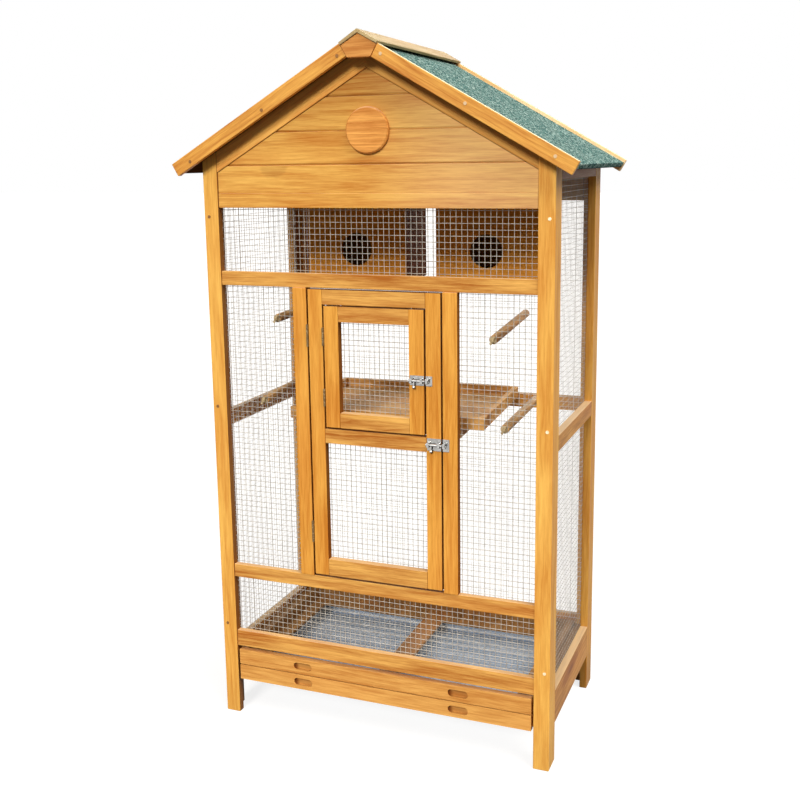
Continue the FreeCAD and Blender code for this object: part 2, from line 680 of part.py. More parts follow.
lips = [
    box(tray_left, TRAY_RIGHT, tray_front, tray_front + LIP_T, TRAY_Z, lip_top),
    box(tray_left, TRAY_RIGHT, rear_net - LIP_T, rear_net, TRAY_Z, lip_top),
    box(tray_left, tray_left + LIP_T, tray_front + LIP_T, rear_net - LIP_T, TRAY_Z, lip_top),
    box(TRAY_RIGHT - LIP_T, TRAY_RIGHT, tray_front + LIP_T, rear_net - LIP_T, TRAY_Z, lip_top)]
add("platform_lip", *[turned_tray(lip) for lip in lips])
slat_pitch = (tray_depth - 2 * LIP_T + SLAT_GAP) / SLATS
for index in range(SLATS):
    y0 = tray_front + LIP_T + index * slat_pitch
    slat = box(tray_left + LIP_T, TRAY_RIGHT - LIP_T, y0, y0 + slat_pitch - SLAT_GAP, TRAY_Z, TRAY_Z + SLAT_T)
    add("platform_floor", turned_tray(slat))
bearer_low = TRAY_Z - BEARER_H
past_back = box(-half, half, rear_net, rear_net + DEPTH, bearer_low, TRAY_Z)
for x in (tray_left + BEARER_INSET, TRAY_RIGHT - BEARER_INSET):
    bearer = box(x - BEARER_W / 2, x + BEARER_W / 2, tray_front, rear_net + BEARER_TAIL, bearer_low, TRAY_Z)
    add("platform_floor", turned_tray(bearer).cut(past_back))


# Perches bolted through the front mesh: the bolt goes through one real opening beside a drawn wire
def openings(lines):
    """Middles of the real mesh openings between a net's drawn lines, with their place in the step."""
    pitch = (lines[1] - lines[0]) / WIRES_PER_STEP
    return [(line + (part + 0.5) * pitch, part) for line in lines[:-1] for part in range(WIRES_PER_STEP)]


def bolt_places(span):
    """Openings of a net beside the door where a perch's bolt and its fixings go through."""
    wire_x = openings(net_lines(span[0], span[1], NET_STEP))
    wire_z = openings(net_lines(door_side_levels[0], door_side_levels[1], NET_STEP))
    middle_part = WIRES_PER_STEP // 2
    edge = NET_LAP + max(WASHER_R, WING_L)
    return [(x, z) for x, i in wire_x for z, j in wire_z
            if (i != middle_part or j != middle_part) and span[0] + edge < x < span[1] - edge]


net_rear = front_in + NET_T
for side, wanted_inset, wanted_z, rise in PERCHES:
    wanted_x = side * (open_x - wanted_inset)
    places = bolt_places(right_span if side > 0 else left_span)
    x, z = min(places, key=lambda place: math.hypot(place[0] - wanted_x, place[1] - wanted_z))

    def at(y):
        return Vector(x, y, z)

    dowel_start = net_rear + WASHER_T
    slope = Vector(0, math.cos(math.radians(rise)), math.sin(math.radians(rise)))
    dowel_end = at(dowel_start) + slope * PERCH_LENGTH
    dowel = rod(PERCH_R, at(dowel_start) - slope * 5, dowel_end - slope * PERCH_END_BEVEL)
    dowel = dowel.fuse(Part.makeCone(
        PERCH_R, PERCH_R - PERCH_END_BEVEL, PERCH_END_BEVEL, dowel_end - slope * PERCH_END_BEVEL, slope))
    reach = 3 * PERCH_R
    outside = box(x - reach, x + reach, dowel_start - reach, dowel_start, z - reach, z + reach)
    add("perches", dowel.removeSplitter().cut(outside))
    nut_rear = front_in - WASHER_T
    nut_front = nut_rear - NUT_L
    shank = rod(PERCH_BOLT_R, at(nut_front - 2), at(dowel_start))
    washers = [rod(WASHER_R, at(net_rear), at(dowel_start)), rod(WASHER_R, at(nut_rear), at(front_in))]
    nut = rod(NUT_R, at(nut_front), at(nut_rear))
    wing = box(x - WING_W / 2, x + WING_W / 2, nut_front, nut_front + WING_T, z - WING_L, z + WING_L)
    wing.rotate(at(nut_front), behind, WING_TURN)
    add("perch_fixings", shank.fuse(washers + [nut, wing]).removeSplitter())


# Screw heads on the corner posts and the barge boards, front and rear
def screw_head(x, y, z):
    head = rod(HEAD_R, Vector(x, y, z), Vector(x, y - HEAD_T, z))
    add("frame_screws", head, turned_to_rear(head))


for side in (-1, 1):
    for level in (POST_SCREW_LOW, POST_SCREW_MIDDLE, POST_SCREW_HIGH):
        screw_head(side * (half - POST_SCREW_INSET), front, level)
    for share in BARGE_SCREWS:
        x, z = on_roof(BARGE_START + share * (barge_end - BARGE_START), BARGE_W / 2 - BARGE_DROP)
        screw_head(side * x, roof_front - BARGE_T, z)

os.makedirs("parts", exist_ok=True)
for node, solids in nodes.items():
    shape = solids[0] if len(solids) == 1 else Part.Compound(solids)
    shape.exportStep(f"parts/{node}.step")
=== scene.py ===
import math

import bmesh
import bpy
from mathutils import Matrix, Vector


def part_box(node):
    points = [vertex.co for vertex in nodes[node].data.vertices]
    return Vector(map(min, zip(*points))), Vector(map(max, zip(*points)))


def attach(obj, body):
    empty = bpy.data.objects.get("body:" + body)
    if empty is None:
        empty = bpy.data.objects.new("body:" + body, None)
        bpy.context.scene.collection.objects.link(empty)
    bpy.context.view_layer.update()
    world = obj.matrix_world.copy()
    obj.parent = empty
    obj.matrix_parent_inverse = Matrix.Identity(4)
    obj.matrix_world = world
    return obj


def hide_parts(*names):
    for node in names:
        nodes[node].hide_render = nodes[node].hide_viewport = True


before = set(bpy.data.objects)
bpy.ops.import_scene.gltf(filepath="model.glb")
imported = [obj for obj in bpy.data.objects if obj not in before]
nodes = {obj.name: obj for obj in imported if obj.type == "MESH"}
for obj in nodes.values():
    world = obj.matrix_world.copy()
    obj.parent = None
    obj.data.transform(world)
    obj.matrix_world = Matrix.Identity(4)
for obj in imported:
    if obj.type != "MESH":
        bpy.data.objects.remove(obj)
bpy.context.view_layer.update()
scene = bpy.context.scene


# Corner posts and side stiles: planed fir battens, stained honey yellow and varnished thinly. They
# stand upright, so their grain runs up and down. Their sharp edges are eased with sandpaper, and the
# side stiles are screwed on behind the posts.
class Link:
    """A shader socket on which Python arithmetic can be written."""

    def __init__(self, tree, socket):
        self.tree = tree
        self.socket = socket

    def node(self, kind, settings=None, inputs=None, output=0):
        """Adds any node: first its settings, then the values or links of its sockets."""
        made = self.tree.nodes.new(kind)
        for name, value in (settings or {}).items():
            setattr(made, name, value)
        for name, value in (inputs or {}).items():
            if isinstance(value, Link):
                self.tree.links.new(value.socket, made.inputs[name])
            else:
                made.inputs[name].default_value = value
        return Link(self.tree, made.outputs[output])

    def calc(self, operation, first, second=0.0):
        """One step of arithmetic."""
        return self.node("ShaderNodeMath", {"operation": operation}, {0: first, 1: second})

    def __add__(self, other):
        return self.calc("ADD", self, other)

    def __radd__(self, other):
        return self.calc("ADD", other, self)

    def __sub__(self, other):
        return self.calc("SUBTRACT", self, other)

    def __rsub__(self, other):
        return self.calc("SUBTRACT", other, self)

    def __mul__(self, other):
        return self.calc("MULTIPLY", self, other)

    def __rmul__(self, other):
        return self.calc("MULTIPLY", other, self)

    def __truediv__(self, other):
        return self.calc("DIVIDE", self, other)

    def __rtruediv__(self, other):
        return self.calc("DIVIDE", other, self)

    def __pow__(self, other):
        return self.calc("POWER", self, other)

    def __rpow__(self, other):
        return self.calc("POWER", other, self)

    def floor(self):
        """The whole number below."""
        return self.calc("FLOOR", self)

    def part(self):
        """What is left over a whole number."""
        return self.calc("FRACT", self)

    def size(self):
        """Without its sign."""
        return self.calc("ABSOLUTE", self)

    def sign(self):
        """-1 on the left of zero, 1 on the right."""
        return self.calc("SIGN", self)

    def most(self, other):
        """The larger of the two."""
        return self.calc("MAXIMUM", self, other)

    def step(self, low, high):
        """0 below low, 1 above high, smooth between."""
        return self.node("ShaderNodeMapRange", {"interpolation_type": "SMOOTHSTEP"},
                         {"Value": self, "From Min": low, "From Max": high})

    def axes(self):
        """The three parts of a vector."""
        return [self.node("ShaderNodeSeparateXYZ", None, {0: self}, part) for part in range(3)]

    def facing(self):
        """The three parts of the direction in which the surface faces."""
        return self.node("ShaderNodeTexCoord", output=1).axes()

    def vector(self, x, y, z):
        """A vector of three values."""
        return self.node("ShaderNodeCombineXYZ", None, {0: x, 1: y, 2: z})

    def noise(self, scale, detail=2.0, roughness=0.5):
        """Soft noise at this place."""
        return self.node("ShaderNodeTexNoise", None,
                         {"Vector": self, "Scale": scale, "Detail": detail, "Roughness": roughness})

    def cells(self, scale, output):
        """Irregular cells at this place: output 0 is the distance to a cell's middle, 1 its own colour."""
        return self.node("ShaderNodeTexVoronoi", None, {"Vector": self, "Scale": scale}, output)

    def mix(self, low, high):
        """A colour between two others, by this share."""
        return self.node("ShaderNodeMix", {"data_type": "RGBA"}, {0: self, 6: low, 7: high}, 2)


def finish(name, roughness=0.5, metallic=0.0):
    """A new material: its principled shader and its object coordinates."""
    material = bpy.data.materials.new(name)
    material.use_nodes = True
    tree = material.node_tree
    shader = tree.nodes["Principled BSDF"]
    shader.inputs["Roughness"].default_value = roughness
    shader.inputs["Metallic"].default_value = metallic
    place = Link(tree, tree.nodes.new("ShaderNodeTexCoord").outputs["Object"])
    return material, shader, place


def feed(shader, socket, link):
    """Joins a link to a socket of the shader."""
    link.tree.links.new(link.socket, shader.inputs[socket])


def roughen(shader, height, distance, strength=1.0):
    """Lets a height show as relief."""
    feed(shader, "Normal", height.node(
        "ShaderNodeBump", None, {"Strength": strength, "Distance": distance, "Height": height}))


def rgb(red, green, blue):
    """A colour as it looks on a screen, as the shaders take it."""
    linear = [(part / 255 / 12.92) if part <= 10 else ((part / 255 + 0.055) / 1.055) ** 2.4
              for part in (red, green, blue)]
    return (*linear, 1.0)


ROOF_PITCH = math.radians(30)
SLOPES_APART = 0.7
RINGS_PER_METRE = 95.0
GRAIN_RELIEF = 0.0004
RED_STAIN = rgb(206, 118, 48)
KNOT = rgb(120, 66, 24)
# Dark brown of the real stain and of the painted shade.
DARK_STAIN_AND_SHADE = rgb(104, 48, 12)
# Cream of the painted highlights.
PAINTED_HIGHLIGHT = rgb(255, 236, 196)


def grain_axes(place, direction):
    """Along the grain, across it and through the board, in metres."""
    x, y, z = place.axes()
    if direction == "upright":
        return z, x, y
    if direction == "crosswise":
        return x, z, y
    if direction == "front_to_back":
        return y, x, z
    reach = x.size()
    side = x.sign() * SLOPES_APART
    along = reach * math.cos(ROOF_PITCH) - z * math.sin(ROOF_PITCH) + side
    across = reach * math.sin(ROOF_PITCH) + z * math.cos(ROOF_PITCH) + side
    return along, across, y


def fir(name, direction, pale, deep, knots=0.8, board=None, stain_and_shade=None, highlight=None, sheen=0.1,
        top_highlight=0.3):
    """Stained softwood with streaks, rings, fibre and knots, darker in places with stain and painted shade,
    with painted highlight in places and on faces that point up.

    knots is the share of clear wood. board gives the lowest joint and the height of stacked boards.
    """
    material, shader, place = finish(name)
    shader.inputs["Specular IOR Level"].default_value = sheen
    along, across, through = grain_axes(place, direction)
    if board:
        lowest, height = board
        number = ((across - lowest) / height).floor()
        log = number.node("ShaderNodeTexWhiteNoise", {"noise_dimensions": "1D"}, {"W": number})
        along = along + log * 3.1
        through = through + log * 0.21

    def stretched(along_scale, across_scale, shift=0.0):
        """Places drawn out along the grain."""
        return place.vector(along * along_scale, across * across_scale + shift, through * across_scale)

    drift = stretched(3.4, 17.0).noise(1.0)
    wander = stretched(2.8, 12.0).noise(1.0)
    streak = stretched(5.5, 75.0).noise(1.0, 3.0, 0.6)
    fibre = stretched(17.0, 330.0).noise(1.0, 4.0, 0.7)
    red = stretched(1.9, 9.0, 3.0).noise(1.0)
    depth = across * 0.93 + through * 0.37 + wander * 0.06
    late = (depth * RINGS_PER_METRE).part() ** 3.0
    patch = stretched(3.6, 15.0, 0.5)
    spot = patch.cells(1.0, 0)
    knotty = patch.cells(1.0, 1).axes()[0].step(knots, knots + 0.02)
    eye = (1.0 - spot.step(0.05, 0.15)) * knotty
    halo = (1.0 - spot.step(0.1, 0.45)) * knotty
    shade = drift.step(0.34, 0.66) * 0.3 + streak.step(0.36, 0.64) * 0.34
    shade = shade + late * wander.step(0.35, 0.6) * 0.3 + fibre.step(0.36, 0.62) * 0.3 + halo * 0.45
    colour = shade.mix(pale, deep)
    colour = (red.step(0.45, 0.7) * 0.18).mix(colour, RED_STAIN)
    colour = (eye * 0.7).mix(colour, KNOT)
    upward = place.facing()[2]
    # Painted highlight: faces that point up are mixed towards cream, as where light falls on them.
    colour = (upward.step(0.45, 0.8) * top_highlight).mix(colour, PAINTED_HIGHLIGHT)
    # A painted highlight where the given mask asks for it.
    if highlight:
        colour = highlight(place).mix(colour, PAINTED_HIGHLIGHT)
    # Darker where the given mask asks: real stain in some places, painted shade in others.
    if stain_and_shade:
        colour = stain_and_shade(place).mix(colour, DARK_STAIN_AND_SHADE)
    feed(shader, "Base Color", colour)
    feed(shader, "Roughness", 0.42 + fibre * 0.2)
    roughen(shader, fibre * 0.5 + late * 0.4, GRAIN_RELIEF, 0.6)
    return material


def dress(material, *names):
    """Gives CAD pieces their finish."""
    for name in names:
        nodes[name].data.materials.clear()
        nodes[name].data.materials.append(material)


def ease(width, *names, segments=2):
    """Rounds the edges of a CAD piece a little, without touching its own mesh."""
    for name in names:
        weld = nodes[name].modifiers.new("weld", "WELD")
        weld.merge_threshold = 0.00001
        bevel = nodes[name].modifiers.new("ease", "BEVEL")
        bevel.width = width
        bevel.segments = segments
        bevel.limit_method = "ANGLE"
        bevel.angle_limit = math.radians(32)


def painted_reveal_shade(place):
    """Painted shade on the inner faces that point right, on the feet and towards the rear of a frame."""
    outer_edge = 0.38
    foot_top = 0.13
    rear_from = 0.12
    rear_to = 0.2
    x, y, z = place.axes()
    right = place.facing()[0]
    inner = right.step(0.5, 0.8) * (outer_edge - x).step(0.0, 0.002) * 0.8
    rear = y.step(rear_from, rear_to)
    foot = (foot_top - z).step(0.0, 0.1)
    return inner.most(foot * (0.12 + rear * 0.25) + rear * 0.16)


BATTEN_EDGE = 0.0014
# Painted shade on the inner faces, feet and rear of the posts and stiles.
upright_fir = fir("honey_fir_upright", "upright", rgb(246, 194, 98), rgb(208, 140, 58), stain_and_shade=painted_reveal_shade)
dress(upright_fir, "corner_posts", "side_stiles")
ease(BATTEN_EDGE, "corner_posts", "side_stiles")


# Front and back panels: two jambs beside the door and rails between the posts, of the same fir battens,
# butted and screwed. Their grain runs lengthwise. Shade is painted dark into the narrow gaps round the
# doors.
def painted_gap_shade(place):
    """Painted shade as on the posts, and deep painted shade in the gaps round the two doors and on the rims
    of the gaps.
    """
    half_gap = 0.0015
    gap_reach = 0.006
    x, y, z = place.axes()
    edgewise = 1.0 - place.facing()[1].size().step(0.3, 0.6)
    in_front = (0.0 - y).step(0.0, 0.1)
    darkened = painted_reveal_shade(place)
    for name in ("main_door_stiles", "small_door_stiles"):
        low, high = (Vector(corner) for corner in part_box(name))
        middle = (low + high) / 2
        half = (high - low) / 2
        beside = (x - middle.x).size() - half.x
        above = (z - middle.z).size() - half.z
        away = beside.most(above)
        inside = (1.0 - away.size().step(gap_reach, gap_reach + 0.0005)) * edgewise * 0.9
        rim = (1.0 - ((away - half_gap).size() - half_gap).step(0.0003, 0.0013)) * 0.6
        darkened = darkened.most(inside.most(rim) * in_front)
    return darkened


# Painted shade in and round the door gaps, on the jambs, rails and door battens.
door_fir = fir("honey_fir_door_battens", "upright", rgb(240, 178, 83), rgb(198, 125, 46), stain_and_shade=painted_gap_shade,
               sheen=0.01)
level_fir = fir("honey_fir_level", "crosswise", rgb(240, 186, 100), rgb(170, 100, 40), stain_and_shade=painted_gap_shade,
                sheen=0.01)
dress(door_fir, "door_jambs")
dress(level_fir, "front_upper_rail", "front_lower_rail", "front_bottom_rail", "back_rails")
ease(BATTEN_EDGE, "door_jambs", "front_upper_rail", "front_lower_rail", "front_bottom_rail", "back_rails")


# Side panels: three fir rails on each side, butted between the stiles, with their grain from front to
# back. The highest ones are tucked under the eaves and carry painted shade.
def painted_eave_shade(place):
    """Painted shade on the rails under the eaves only."""
    eave_rails_from = 1.2
    return (place.axes()[2] - eave_rails_from).step(0.0, 0.01) * 0.75


# Painted shade on the highest side rails, and a painted highlight on the tops of all of them.
deep_fir = fir("honey_fir_front_to_back", "front_to_back", rgb(216, 160, 78), rgb(154, 94, 36),
               stain_and_shade=painted_eave_shade, top_highlight=0.45)
dress(deep_fir, "side_rails")
ease(BATTEN_EDGE, "side_rails")

# Gables: level fir planks over a rail, each from another log, nailed up between the posts. Sloping strips
# close them under the roof, and a turned disc is glued to the middle of the front one.
PLANK_JOINTS = (1.109, 0.071)
TRIM_WIDTH = 0.0385
TRIM_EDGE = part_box("gable_trims")[1][2] * math.cos(ROOF_PITCH) - TRIM_WIDTH
GABLE_EDGE = 0.0012


def plank_flame_and_shade(place):
    """Painted shadow along the strips and beside the posts, painted shade up under the roof, and a flame of
    the grain on the lowest plank.
    """
    beside_posts = 0.3665
    lowest_groove = 1.3215
    shaded_from = 1.33
    flame_x = -0.228
    flame_z = 1.319
    flame_width = 0.036
    flame_height = 0.026
    x, _, z = place.axes()
    slope = x.size() * math.sin(ROOF_PITCH) + z * math.cos(ROOF_PITCH)
    # Painted shadow under the sloping strips and beside the posts.
    at_strips = (slope - TRIM_EDGE + 0.003).step(0.0, 0.002) * 0.6
    at_posts = (x.size() - beside_posts).step(0.0, 0.002) * 0.6
    flame = ((x - flame_x) / flame_width) ** 2.0 + ((z - flame_z) / flame_height) ** 2.0
    ragged = flame + place.vector(x * 60.0, z * 160.0, 0.0).noise(1.0) * 0.8
    flame_stain = (1.0 - ragged.step(0.9, 1.5)) * (lowest_groove - z).step(0.0, 0.001) * 0.2
    # Painted shade up under the roof.
    under_roof = (z - shaded_from).step(0.0, 0.2) * 0.3
    return at_strips.most(at_posts).most(flame_stain + under_roof)


def plank_highlight(place):
    """Painted highlight, lighter on the right half."""
    highlight_from = -0.05
    return (place.axes()[0] - highlight_from).step(0.0, 0.3) * 0.17


def trim_right_shade(place):
    """Painted shade, darker on the strips on the right."""
    return place.axes()[0].step(-0.01, 0.01) * 0.35


# The planks get painted shade and a painted highlight on the right.
plank_fir = fir("honey_fir_planks", "crosswise", rgb(240, 190, 98), rgb(193, 121, 47), board=PLANK_JOINTS,
                stain_and_shade=plank_flame_and_shade, highlight=plank_highlight)
trim_fir = fir("honey_fir_trims", "sloping", rgb(255, 200, 104), rgb(212, 138, 62), stain_and_shade=trim_right_shade)
disc_fir = fir("honey_fir_disc", "crosswise", rgb(250, 184, 98), rgb(186, 106, 40), knots=2.0)
dress(plank_fir, "front_gable_boards", "rear_gable_boards")
dress(trim_fir, "gable_trims")
dress(disc_fir, "gable_disc")
ease(GABLE_EDGE, "front_gable_boards", "rear_gable_boards", "gable_trims", "gable_disc")

# Barge boards, ridge boards and end caps: fir boards that close the edges of the roof, screwed on after
# the felt. The barge boards carry a strong painted highlight on top, the rear ones are a paler fir, and the
# ridge boards have weathered to a pale grey brown.
slope_fir = fir("honey_fir_sloping", "sloping", rgb(240, 182, 86), rgb(182, 108, 36), sheen=0.25,
                top_highlight=0.85)
pale_slope_fir = fir("pale_fir_sloping", "sloping", rgb(255, 232, 188), rgb(226, 184, 124), top_highlight=0.6)
ridge_fir = fir("weathered_fir_ridge", "front_to_back", rgb(200, 182, 138), rgb(158, 138, 94), sheen=0.03,
                top_highlight=0.0)
cap_fir = fir("honey_fir_caps", "crosswise", rgb(232, 172, 96), rgb(176, 108, 48))
dress(slope_fir, "front_barge_boards")
dress(pale_slope_fir, "rear_barge_boards")
dress(ridge_fir, "ridge_boards")
dress(cap_fir, "ridge_end_caps")
ease(BATTEN_EDGE, "front_barge_boards", "rear_barge_boards", "ridge_boards", "ridge_end_caps")

# Roof: two boards under mineral felt, dark brown all over as painted shade under the roof. The felt is
# bitumen sheet strewn with green grit, laid over each slope, folded down over the eaves and tacked.
BITUMEN = rgb(30, 27, 24)
FELT_EDGE = 0.002
# The roof boards are painted dark brown as the shade under the roof.
dark_board = fir("dark_roof_board", "front_to_back", rgb(112, 74, 40), rgb(72, 46, 24), sheen=0.0,
                 top_highlight=0.0)
dress(dark_board, "left_roof_board", "right_roof_board")


def grit_felt():
    """Green grit in patches with pale and dark grains on the outside, bare bitumen beneath."""
    material, shader, place = finish("green_mineral_felt", 0.9)
    shader.inputs["Specular IOR Level"].default_value = 0.05
    patches = place.noise(9.0, 3.0)
    grain = place.noise(210.0, 3.0, 0.7)
    specks = place.cells(300.0, 1).axes()[0]
    base = patches.step(0.3, 0.7).mix(rgb(79, 127, 122), rgb(103, 141, 135))
    grey = grain.step(0.45, 0.56).mix(base, rgb(34, 66, 66))
    gritty = specks.step(0.74, 0.8).mix(grey, rgb(172, 198, 191))
    right, _, upward = place.facing()
    outside = (right * place.axes()[0].sign()).step(-0.4, -0.2) * upward.step(-0.75, -0.6)
    feed(shader, "Base Color", outside.mix(BITUMEN, gritty))
    roughen(shader, grain + specks * 0.4, 0.0008, 0.8)
    return material


dress(grit_felt(), "left_roof_felt", "right_roof_felt")
ease(FELT_EDGE, "left_roof_felt", "right_roof_felt", segments=3)


# Wire mesh: half-inch welded mesh of zinc-coated wire, stapled to the inside of the frames. The level
# wires lie on the outside of the upright ones. The sides and the back have a finer wire, and that of
# the back and the left side is brighter.
def zinc_wire(name, dull, bright):
    """Zinc coat with dull and bright stretches."""
    material, shader, place = finish(name, 0.5, 0.3)
    tone = place.noise(60.0).step(0.3, 0.7)
    feed(shader, "Base Color", tone.mix(dull, bright))
    return material


MESH_PITCH = 0.0127
CAD_BAR = 0.002
WIRE_R = 0.00062
FINE_WIRE_R = 0.00042
LAID_ALONG = {0: Matrix.Rotation(math.pi / 2, 4, "Y"), 1: Matrix.Rotation(math.pi / 2, 4, "X"),
              2: Matrix.Identity(4)}
wire_finish = zinc_wire("zinc_wire", rgb(156, 150, 141), rgb(188, 182, 171))
bright_wire_finish = zinc_wire("bright_zinc_wire", rgb(224, 223, 224), rgb(242, 241, 242))


def wire_places(low, high, split):
    """Places of the wires across a net; the CAD net has a bar at every split-th of them."""
    span = high - low - CAD_BAR
    count = max(1, round(span / (split * MESH_PITCH))) * split
    return [low + CAD_BAR / 2 + index * span / count for index in range(count + 1)]


def wire_net(name, body, across, outside, radius=WIRE_R, split=3, rise=2, coat=wire_finish):
    """A net of round wires in place of a CAD net; across and rise are its axes, outside points out."""
    low, high = (Vector(corner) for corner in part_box(name))
    normal = 3 - across - rise
    bm = bmesh.new()
    for axis, other, layer in ((across, rise, 1), (rise, across, -1)):
        for place in wire_places(low[other], high[other], split):
            centre = (low + high) / 2
            centre[other] = place
            centre[normal] += layer * outside * 0.6 * radius
            bmesh.ops.create_cone(bm, cap_ends=True, segments=6, radius1=radius, radius2=radius,
                                  depth=high[axis] - low[axis],
                                  matrix=Matrix.Translation(centre) @ LAID_ALONG[axis])
    mesh = bpy.data.meshes.new(name + "_wires")
    bm.to_mesh(mesh)
    bm.free()
    piece = bpy.data.objects.new(name + "_wires", mesh)
    scene.collection.objects.link(piece)
    mesh.materials.append(coat)
    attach(piece, body)
    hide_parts(name)


for name in ("front_upper_mesh", "front_left_mesh", "front_right_mesh", "front_lower_mesh"):
    wire_net(name, "frame", 0, -1)
wire_net("back_mesh", "frame", 0, 1, FINE_WIRE_R, 5, coat=bright_wire_finish)
wire_net("left_side_mesh", "frame", 1, -1, FINE_WIRE_R, coat=bright_wire_finish)
wire_net("right_side_mesh", "frame", 1, 1, FINE_WIRE_R)
wire_net("main_door_mesh", "main_door", 0, -1)
wire_net("small_door_mesh", "small_door", 0, -1)

# Doors: stiles and rails of the same fir battens, butted and glued. The small feeding door sits in the
# upper half of the main one. Their nets are in the section before, and their gaps carry painted shade as
# above.
dress(door_fir, "main_door_stiles", "small_door_stiles")
dress(level_fir, "main_door_rails", "small_door_rails")
ease(BATTEN_EDGE, "main_door_stiles", "small_door_stiles", "main_door_rails", "small_door_rails")


# Hinges: two rolled steel butts to each door, with a thin bronze lacquer that has worn in places. They
# are let into the gap beside the door, so that little more than the knuckle shows.
def bronze():
    """Bronze lacquer, worn to a lighter tone."""
    material, shader, place = finish("bronzed_steel", 0.4, 0.8)
    worn = place.noise(240.0, 3.0).step(0.45, 0.7)
    feed(shader, "Base Color", worn.mix(rgb(112, 92, 62), rgb(160, 138, 98)))
    return material


LEAF_EDGE = 0.0003
HINGE_LEAVES = ("main_hinge_jamb_leaves", "main_hinge_door_leaves", "small_hinge_outer_leaves",
                "small_hinge_door_leaves")
dress(bronze(), "main_hinge_pins", "small_hinge_pins", *HINGE_LEAVES)
ease(LEAF_EDGE, *HINGE_LEAVES)


# Barrel bolts: a pressed plate with a turned bolt in it and a keeper, one on each door, all of steel
# with a bright zinc coat. Their undersides carry painted shade, and the plates behind the bolts are darker.
def bright_zinc():
    """Bright zinc, with painted shade on the faces that point down, and darker on the plates."""
    plate_depth = 0.0018
    material, shader, place = finish("bright_zinc", 0.22, 1.0)
    cloud = place.noise(180.0, 3.0)
    plated = cloud.step(0.35, 0.7).mix(rgb(196, 196, 194), rgb(232, 232, 230))
    _, inward, upward = place.facing()
    door_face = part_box("main_door_stiles")[0][1]
    plate = (place.axes()[1] - door_face + plate_depth).step(0.0, 0.0004) * 0.4
    # Painted shade on the faces that point down.
    below = (1.0 - (upward - inward * 0.3).step(-0.3, 0.7)) * 0.9
    feed(shader, "Base Color", below.most(plate).mix(plated, rgb(36, 34, 31)))
    feed(shader, "Roughness", 0.14 + cloud * 0.14)
    return material


BOLT_EDGE = 0.0006
BOLT_PLATES = ("main_bolt_housing", "main_bolt_keeper", "small_bolt_housing", "small_bolt_keeper")
dress(bright_zinc(), "main_bolt", "small_bolt", *BOLT_PLATES)
ease(BOLT_EDGE, *BOLT_PLATES, segments=3)


# Screws and perch bolts: turned steel with a thin zinc coat. The screws hold the posts and the barge
# boards, and the stain has browned them, apart from those of the right post. The perch bolts are dull.
def screw_zinc():
    """Clean on the right post, greyed on the right of the roof and browned on the left."""
    right_post_from = 0.3
    roof_from = 1.3
    material, shader, place = finish("lacquered_zinc", 0.5, 0.6)
    x, _, z = place.axes()
    clean = (x - right_post_from).step(0.0, 0.01) * (roof_from - z).step(0.0, 0.01)
    bright = place.noise(300.0, 3.0).step(0.35, 0.7).mix(rgb(226, 204, 162), rgb(250, 236, 206))
    darkened = x.step(-0.01, 0.0).mix(rgb(134, 92, 48), rgb(190, 164, 128))
    feed(shader, "Base Color", clean.mix(darkened, bright))
    return material


def dull_zinc():
    """Zinc that has gone dull and brown in clouds."""
    material, shader, place = finish("dull_zinc", 0.5, 0.6)
    cloud = place.noise(300.0, 3.0).step(0.35, 0.7)
    feed(shader, "Base Color", cloud.mix(rgb(140, 118, 82), rgb(182, 164, 128)))
    return material


SCREW_EDGE = 0.0005
dress(screw_zinc(), "frame_screws")
dress(dull_zinc(), "perch_fixings")
ease(SCREW_EDGE, "frame_screws", "perch_fixings")

# Drawers: fir fronts with routed finger recesses, and fir walls, floor strips and runners, nailed. The
# upper floor is a wire grate, the lower one a folded sheet of galvanised steel.
DRAWER_JOINTS = (0.08775, 0.0395)
DRAWER_FRONT_EDGE = 0.0018
DRAWER_EDGE = 0.0012


def recess_grain_and_shade(place):
    """Darker routed end grain in the finger recesses, with painted shade darkest at the top and the left,
    and painted shade on the top edges.
    """
    recess_x = 0.194
    recess_rise = 0.01925
    half_length = 0.0236
    half_height = 0.0088
    recess_from = -0.2272
    lowest, height = DRAWER_JOINTS
    x, y, z = place.axes()
    left = x.sign() * recess_x - x
    up = ((z - lowest) / height).part() * height - recess_rise
    lengthwise = 1.0 - (x.size() - recess_x).size().step(half_length, half_length + 0.001)
    inside = lengthwise * (1.0 - up.size().step(half_height, half_height + 0.0008))
    # Painted shade, darkest at the top and the left of the recesses.
    dark = 0.32 + up.step(-0.001, 0.008).most(left.step(0.01, 0.022)) * 0.58
    routed = inside * (y - recess_from).step(0.0, 0.002) * dark
    # Painted shade on the top edges.
    top_edge = place.facing()[2].step(0.5, 0.8) * 0.25
    return routed.most(top_edge)


def spangled_sheet():
    """Galvanised sheet with zinc flakes and painted pale streaks of reflection."""
    material, shader, place = finish("galvanised_sheet", 0.4, 0.2)
    flakes = place.cells(110.0, 1).axes()[0]
    x, y, z = place.axes()
    # Painted reflection in pale streaks along the sheet.
    reflection_streaks = place.vector(x * 2.0, y * 60.0, z * 60.0).noise(1.0).step(0.4, 0.7)
    tone = flakes.mix(rgb(140, 160, 184), rgb(152, 172, 196))
    feed(shader, "Base Color", (reflection_streaks * 0.6).mix(tone, rgb(206, 216, 228)))
    feed(shader, "Roughness", 0.42 + flakes * 0.08)
    return material


